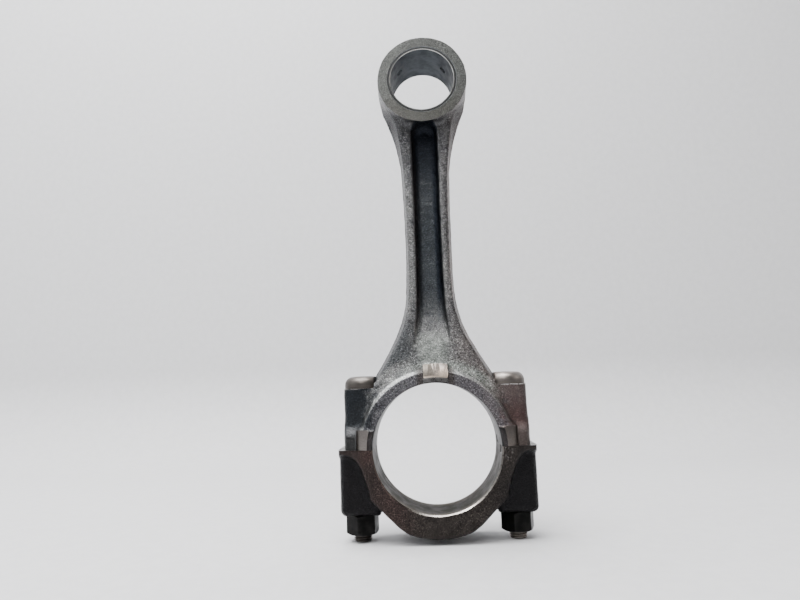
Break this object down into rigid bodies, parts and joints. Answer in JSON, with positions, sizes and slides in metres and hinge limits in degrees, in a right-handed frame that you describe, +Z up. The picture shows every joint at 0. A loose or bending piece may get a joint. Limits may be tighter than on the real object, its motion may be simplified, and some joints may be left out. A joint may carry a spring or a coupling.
{
  "type": "connecting rod",
  "caption": "Forged engine connecting rod with I-section shank, bushed small end, and a big end split by a bolted bearing cap.",
  "frame": {"origin": "centre of the big-end bore at mid-width", "axes": "+Y along the big-end bore, +Z up the shank to the small end, +X to the right bolt"},
  "size_m": [0.087, 0.0274, 0.2321],
  "materials": {
    "forged_steel": "shot-blasted forging, matte grey with machined faces",
    "forged_steel_dark": "oil-darkened forging, matte",
    "bush_metal": "finely bored, satin",
    "bolt_steel": "smooth, slightly browned",
    "nut_steel": "black oxide, oily"
  },
  "bodies": {
    "rod": {"rod_body": "forged_steel", "small_end_bush": "bush_metal", "bolt_left": "bolt_steel", "bolt_right": "bolt_steel"},
    "cap": {"bearing_cap": "forged_steel_dark"},
    "left_nut": {"nut_left": "nut_steel"},
    "right_nut": {"nut_right": "nut_steel"}
  },
  "joints": [
    {"name": "cap_draw", "type": "slide", "parent": "rod", "child": "cap", "axis": [0, 0, -1], "range_m": [0, 0.011]},
    {"name": "nut_left_turn", "type": "hinge", "parent": "cap", "child": "left_nut", "pos_m": [-0.0343, 0, -0.0328], "axis": [0, 0, -1], "range_deg": [0, 3960]},
    {"name": "nut_right_turn", "type": "hinge", "parent": "cap", "child": "right_nut", "pos_m": [0.0343, 0, -0.0328], "axis": [0, 0, -1], "range_deg": [0, 3960]}
  ],
  "couplings": [
    {"joint": "nut_left_turn", "follows": "cap_draw", "rad_per_m": 6283.2},
    {"joint": "nut_right_turn", "follows": "cap_draw", "rad_per_m": 6283.2}
  ]
}
